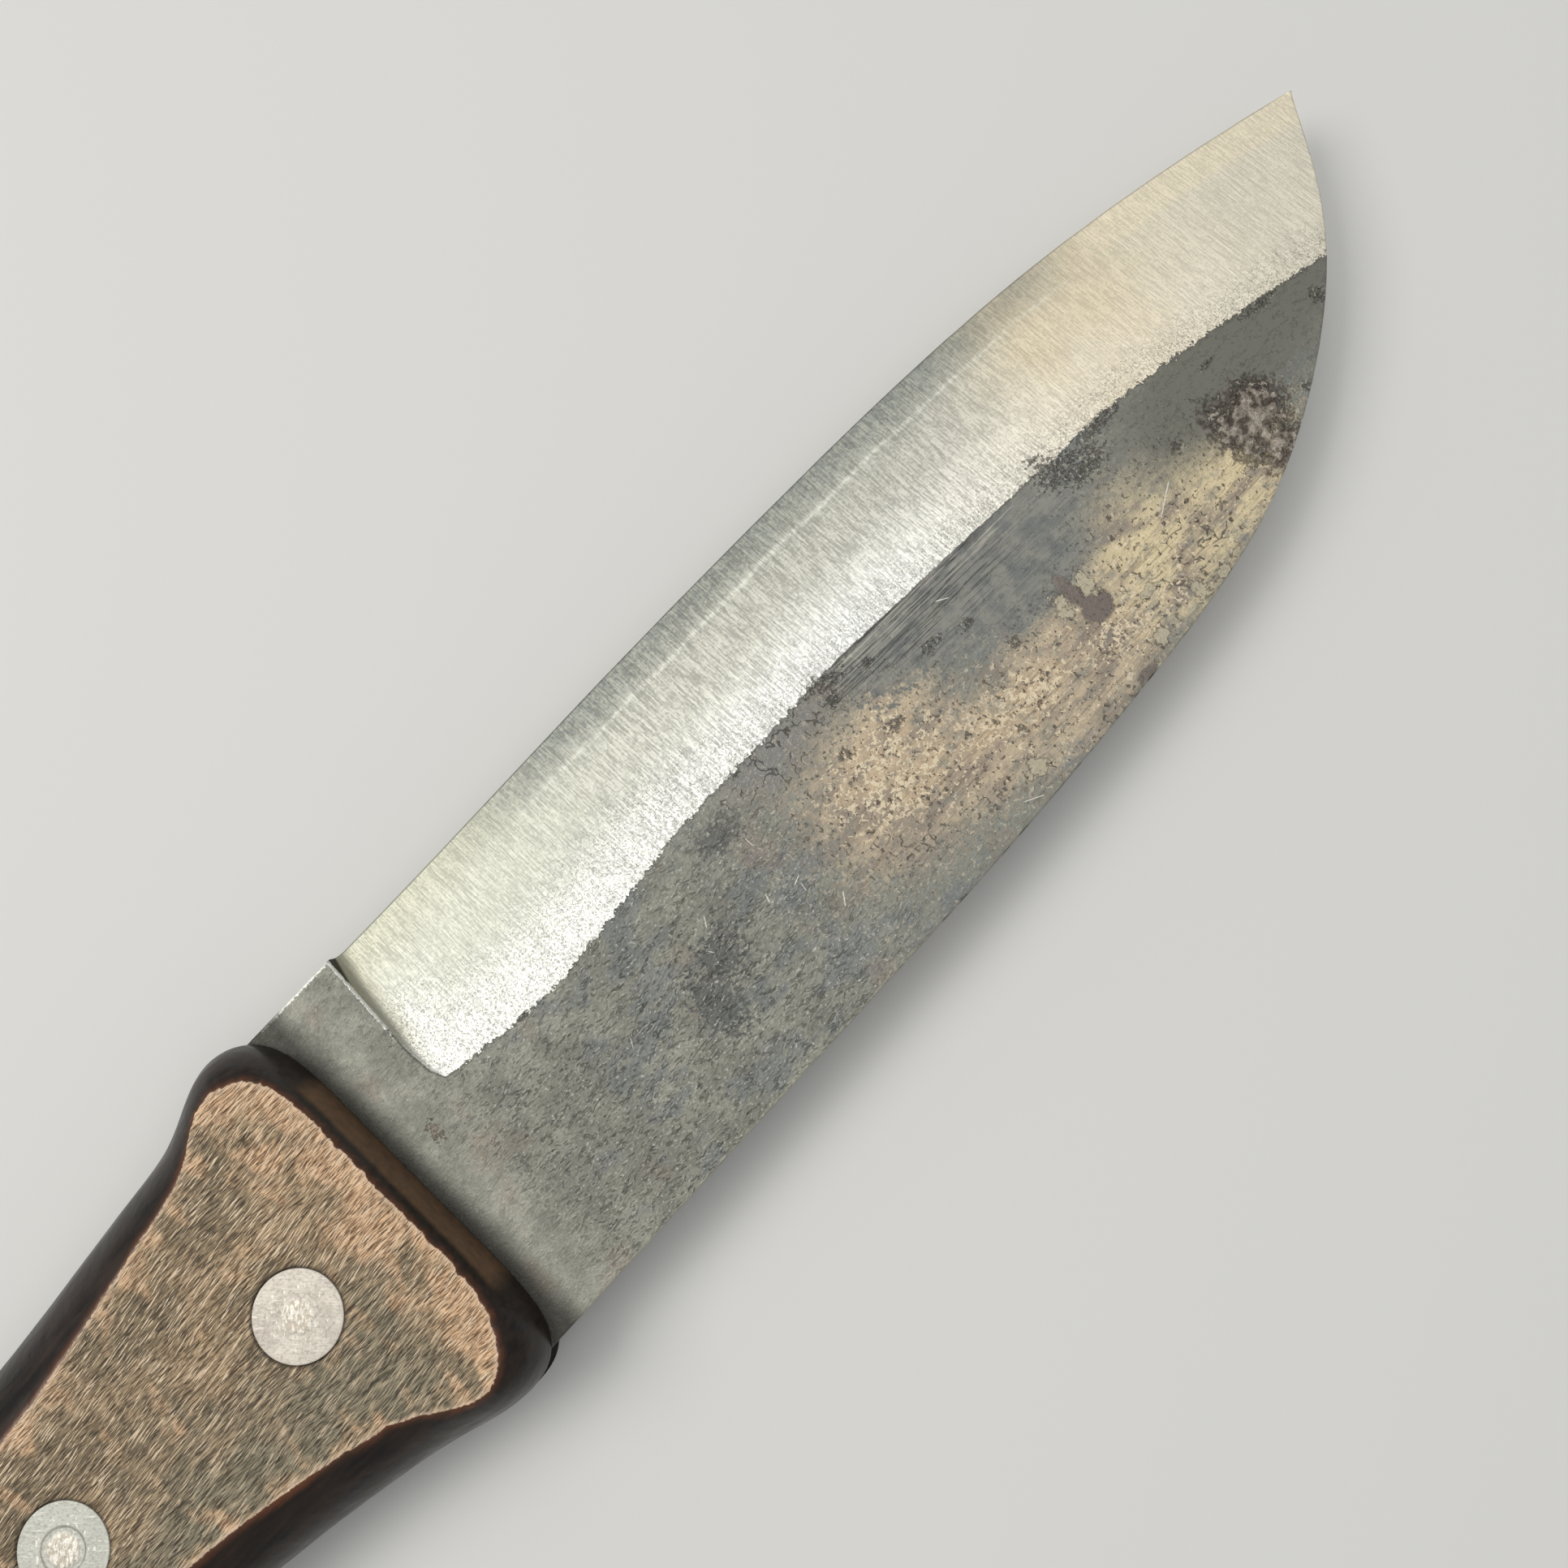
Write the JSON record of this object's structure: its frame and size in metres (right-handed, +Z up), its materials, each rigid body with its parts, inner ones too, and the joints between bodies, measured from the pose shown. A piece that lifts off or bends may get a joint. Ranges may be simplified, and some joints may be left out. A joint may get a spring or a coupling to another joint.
{
  "type": "boning knife",
  "caption": "Full-tang knife with a short broad forged blade, ground cutting edge, upswept tip and flared wooden handle scales riveted to the tang.",
  "frame": {"origin": "under the middle of the knife's box, on the flat of the right scale that the knife lies on", "axes": "+X along the spine from the butt to the tip, +Y from the spine towards the cutting edge, +Z up out of the left face"},
  "size_m": [0.2795, 0.051, 0.018],
  "materials": {
    "forged_steel": "dark forge scale with a satin ground bevel",
    "handle_wood": "worn bare flats with dark lacquered sides",
    "rivet_metal": "matte, hammered in the middle"
  },
  "bodies": {
    "root": {"blade": "forged_steel", "left_scale": "handle_wood", "right_scale": "handle_wood", "front_rivet": "rivet_metal", "middle_rivet": "rivet_metal", "rear_rivet": "rivet_metal", "front_washer": "rivet_metal", "middle_washer": "rivet_metal", "rear_washer": "rivet_metal"}
  },
  "joints": []
}
